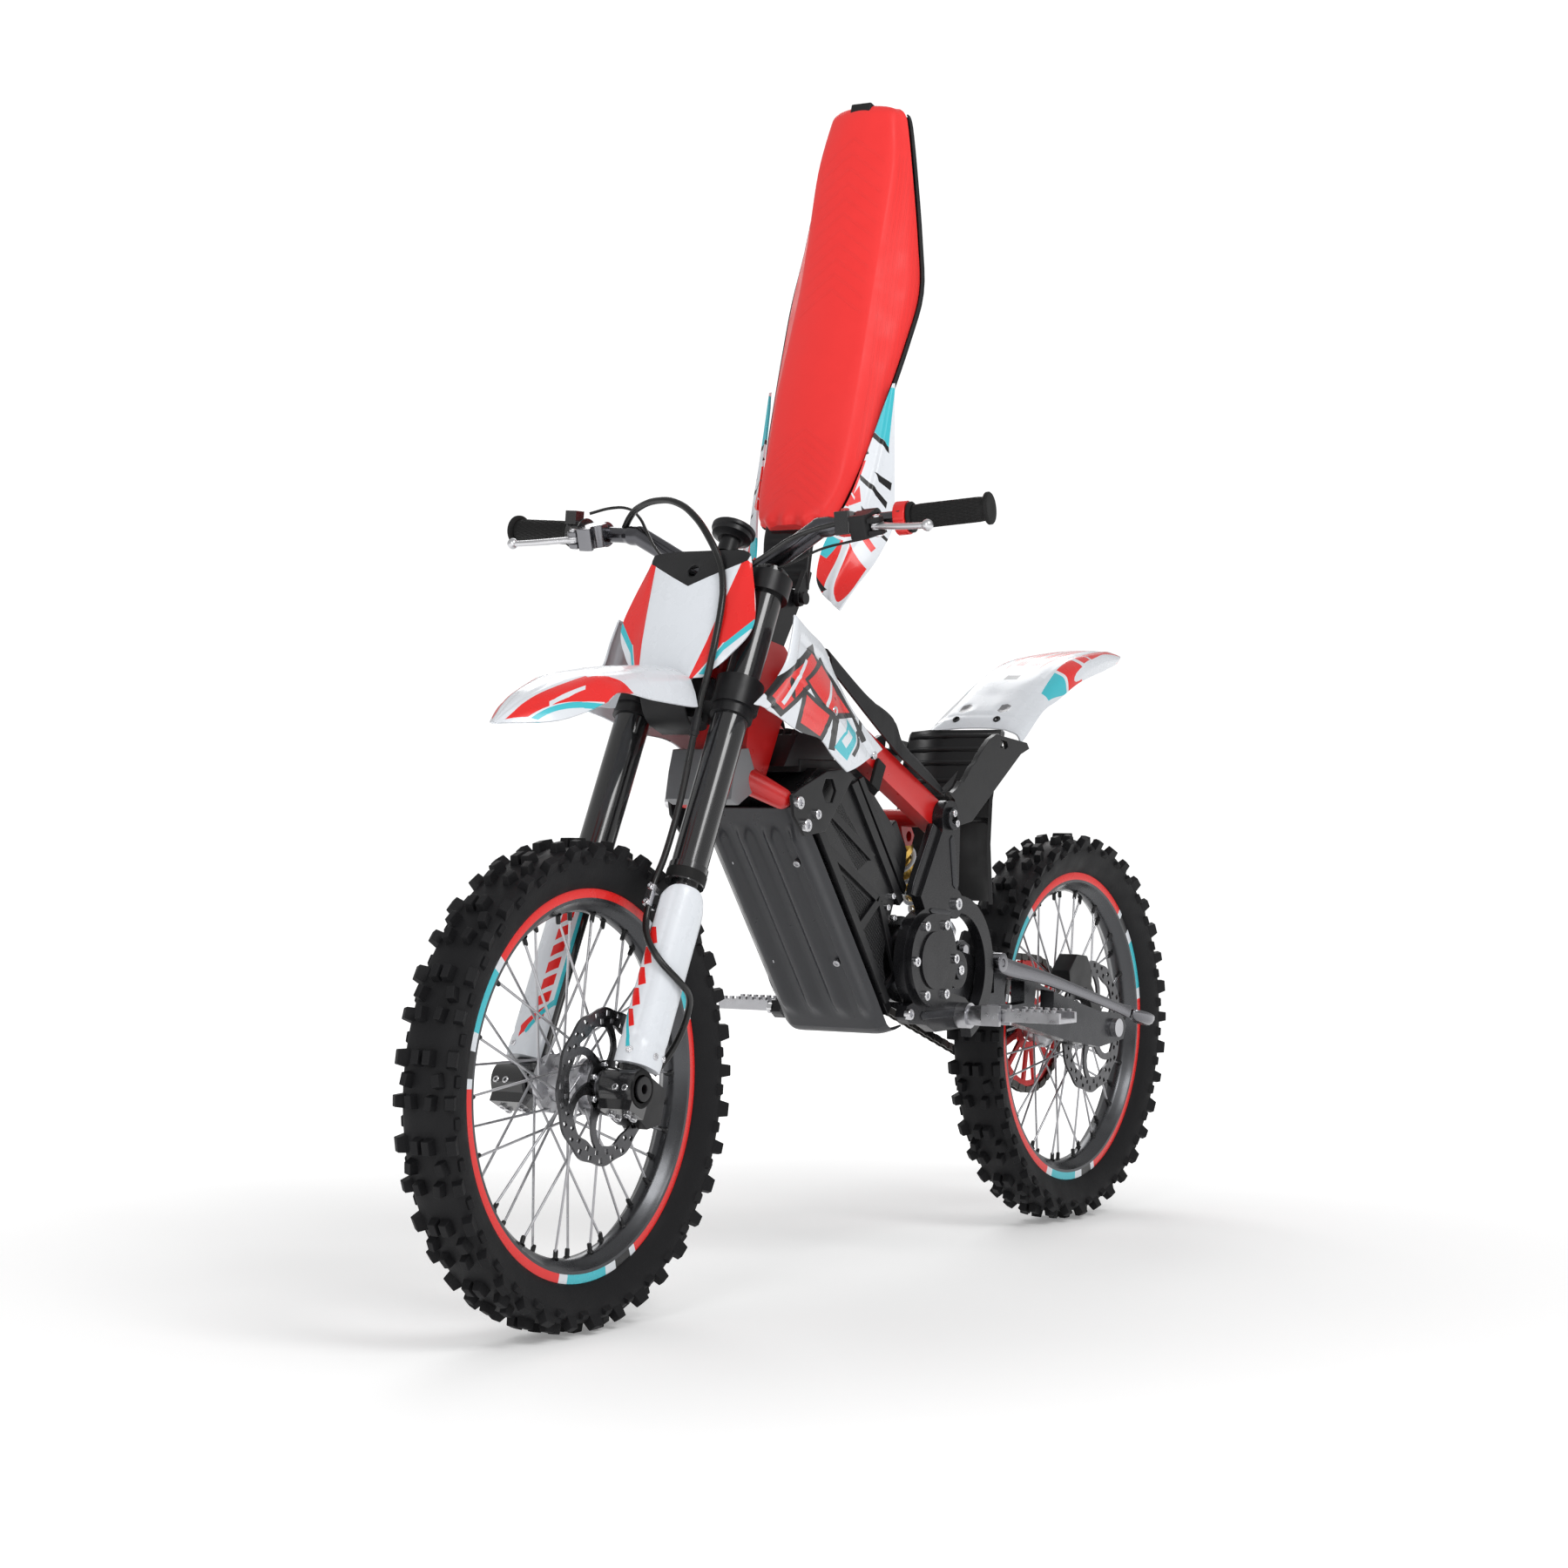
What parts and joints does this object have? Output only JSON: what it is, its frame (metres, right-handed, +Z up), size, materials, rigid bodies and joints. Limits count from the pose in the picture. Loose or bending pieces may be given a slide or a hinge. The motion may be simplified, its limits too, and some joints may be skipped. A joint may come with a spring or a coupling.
{
  "type": "electric off-road motorcycle",
  "caption": "Light electric dirt bike with a tip-up seat, sprung fork and swingarm, spoked wheels, chain drive, disc brakes and folding pegs.",
  "frame": {"origin": "on the ground, midway between the axles, in the bike's middle plane", "axes": "+X forward, +Y to the rider's left, +Z up"},
  "size_m": [2.016, 0.7938, 1.7075],
  "materials": {
    "frame_red": "satin",
    "cover_black": "satin",
    "plate_black": "satin",
    "pack_shell": "matte",
    "cast_dark": "satin",
    "bash_grey": "satin",
    "bolt_steel": "polished",
    "white_plastic": "satin",
    "shroud_print": "glossy",
    "grey_plastic": "matte",
    "fork_black": "glossy",
    "bar_grey": "satin",
    "grip_rubber": "matte",
    "control_black": "satin",
    "hose_black": "satin",
    "lever_alloy": "polished",
    "button_red": "glossy",
    "tyre_rubber": "matte",
    "rim_dark": "satin",
    "hub_alloy": "satin",
    "disc_steel": "satin",
    "chain_steel": "satin",
    "sprocket_red": "satin",
    "seat_vinyl": "satin",
    "display_glass": "glossy",
    "shock_gold": "satin",
    "spring_coil": "glossy",
    "stand_metal": "satin"
  },
  "bodies": {
    "frame": {"main_frame": "frame_red", "top_covers": "cover_black", "side_plates": "plate_black", "battery_case": "pack_shell", "battery_pack": "pack_shell", "controller": "control_black", "bash_plate": "bash_grey", "pivot_plates": "cast_dark", "motor": "cast_dark", "motor_covers": "control_black", "frame_bolts": "bolt_steel", "subframe": "cover_black", "rear_fender": "white_plastic", "side_shrouds": "shroud_print", "splash_guard": "grey_plastic", "steering_bearings": "bolt_steel", "seat_hinge": "plate_black", "footpeg_brackets": "hub_alloy"},
    "steering": {"fork_clamps": "plate_black", "fork_upper_tubes": "fork_black", "handlebar": "bar_grey", "number_plate": "white_plastic", "front_fender": "white_plastic", "display": "display_glass", "left_grip": "grip_rubber", "lever_perches": "control_black", "front_brake_hose": "hose_black", "front_hose_lower": "hose_black", "control_cables": "hose_black"},
    "fork_lower": {"fork_lower_tubes": "fork_black", "fork_guards": "white_plastic", "front_caliper": "control_black", "front_axle": "bolt_steel"},
    "front_wheel": {"front_tyre": "tyre_rubber", "front_rim": "rim_dark", "front_hub_spokes": "hub_alloy", "front_disc": "disc_steel"},
    "swingarm": {"swingarm": "plate_black", "rear_caliper": "control_black", "rear_axle": "bolt_steel", "chain": "chain_steel"},
    "rear_wheel": {"rear_tyre": "tyre_rubber", "rear_rim": "rim_dark", "rear_hub_spokes": "hub_alloy", "rear_disc": "disc_steel", "sprocket": "sprocket_red"},
    "seat": {"seat_cushion": "seat_vinyl", "seat_base": "cover_black", "seat_shrouds": "white_plastic"},
    "throttle": {"throttle_grip": "grip_rubber"},
    "left_lever": {"left_lever": "lever_alloy"},
    "right_lever": {"right_lever": "lever_alloy"},
    "kill_button": {"kill_button": "button_red"},
    "motor_sprocket": {"motor_sprocket": "bolt_steel"},
    "kickstand": {"kickstand": "stand_metal"},
    "left_footpeg": {"left_footpeg": "hub_alloy"},
    "right_footpeg": {"right_footpeg": "hub_alloy"},
    "shock_body": {"shock_body": "shock_gold", "shock_spring": "spring_coil"},
    "shock_rod": {"shock_rod": "bolt_steel"}
  },
  "joints": [
    {"name": "steering_turn", "type": "hinge", "parent": "frame", "child": "steering", "pos_m": [0.3628, 0, 0.9], "axis": [-0.4446, 0, 0.8957], "range_deg": [-38, 38]},
    {"name": "fork_travel", "type": "slide", "parent": "steering", "child": "fork_lower", "axis": [-0.4446, 0, 0.8957], "range_m": [0, 0.15], "stiffness_N_per_m": 7000, "springref_m": -0.05, "deforming": ["front_hose_lower"]},
    {"name": "front_wheel_spin", "type": "hinge", "parent": "fork_lower", "child": "front_wheel", "pos_m": [0.6915, 0, 0.3165], "axis": [0, 1, 0], "continuous": true},
    {"name": "swingarm_swing", "type": "hinge", "parent": "frame", "child": "swingarm", "pos_m": [-0.128, 0, 0.434], "axis": [0, 1, 0], "range_deg": [0, 15], "stiffness_Nm_per_rad": 1500, "springref_deg": -6.88, "deforming": ["chain"]},
    {"name": "rear_wheel_spin", "type": "hinge", "parent": "swingarm", "child": "rear_wheel", "pos_m": [-0.6915, 0, 0.3165], "axis": [0, 1, 0], "continuous": true},
    {"name": "shock_tilt", "type": "hinge", "parent": "frame", "child": "shock_body", "pos_m": [-0.118, 0, 0.631], "axis": [0, 1, 0], "range_deg": [0, 7]},
    {"name": "shock_travel", "type": "slide", "parent": "shock_body", "child": "shock_rod", "axis": [0.7189, 0, 0.6952], "range_m": [0, 0.04], "deforming": ["shock_spring"]},
    {"name": "motor_sprocket_spin", "type": "hinge", "parent": "frame", "child": "motor_sprocket", "pos_m": [-0.04, 0, 0.452], "axis": [0, 1, 0], "continuous": true},
    {"name": "seat_tip", "type": "hinge", "parent": "frame", "child": "seat", "pos_m": [0.195, 0, 0.968], "axis": [0, 1, 0], "range_deg": [-74, 0]},
    {"name": "left_lever_pull", "type": "hinge", "parent": "steering", "child": "left_lever", "pos_m": [0.34695, 0.2484, 1.05079], "axis": [0.3008, -0.0298, 0.9532], "range_deg": [0, 20], "stiffness_Nm_per_rad": 0.6, "springref_deg": -17.19},
    {"name": "right_lever_pull", "type": "hinge", "parent": "steering", "child": "right_lever", "pos_m": [0.34695, -0.2484, 1.05079], "axis": [-0.3008, -0.0298, -0.9532], "range_deg": [0, 20], "stiffness_Nm_per_rad": 0.6, "springref_deg": -17.19},
    {"name": "throttle_turn", "type": "hinge", "parent": "steering", "child": "throttle", "pos_m": [0.33, -0.148, 1.053], "axis": [-0.1566, -0.9844, 0.0802], "range_deg": [0, 75], "stiffness_Nm_per_rad": 0.25, "springref_deg": -11.46},
    {"name": "kill_button_press", "type": "slide", "parent": "steering", "child": "kill_button", "axis": [-0.0126, 0.0792, -0.9968], "range_m": [0, 0.002], "stiffness_N_per_m": 900, "springref_m": -0.002},
    {"name": "kickstand_swing", "type": "hinge", "parent": "swingarm", "child": "kickstand", "pos_m": [-0.258, 0.11, 0.44], "axis": [0, 1, 0], "range_deg": [-88, 0]},
    {"name": "left_footpeg_fold", "type": "hinge", "parent": "frame", "child": "left_footpeg", "pos_m": [-0.134, 0.186, 0.369], "axis": [1, 0, 0], "range_deg": [0, 80], "stiffness_Nm_per_rad": 1, "springref_deg": -17.19},
    {"name": "right_footpeg_fold", "type": "hinge", "parent": "frame", "child": "right_footpeg", "pos_m": [-0.134, -0.186, 0.369], "axis": [-1, 0, 0], "range_deg": [0, 80], "stiffness_Nm_per_rad": 1, "springref_deg": -17.19}
  ],
  "couplings": [
    {"joint": "motor_sprocket_spin", "follows": "rear_wheel_spin", "ratio": 4.1538},
    {"joint": "shock_tilt", "follows": "swingarm_swing", "ratio": 0.41897},
    {"joint": "shock_travel", "follows": "swingarm_swing", "m_per_rad": 0.14237}
  ]
}
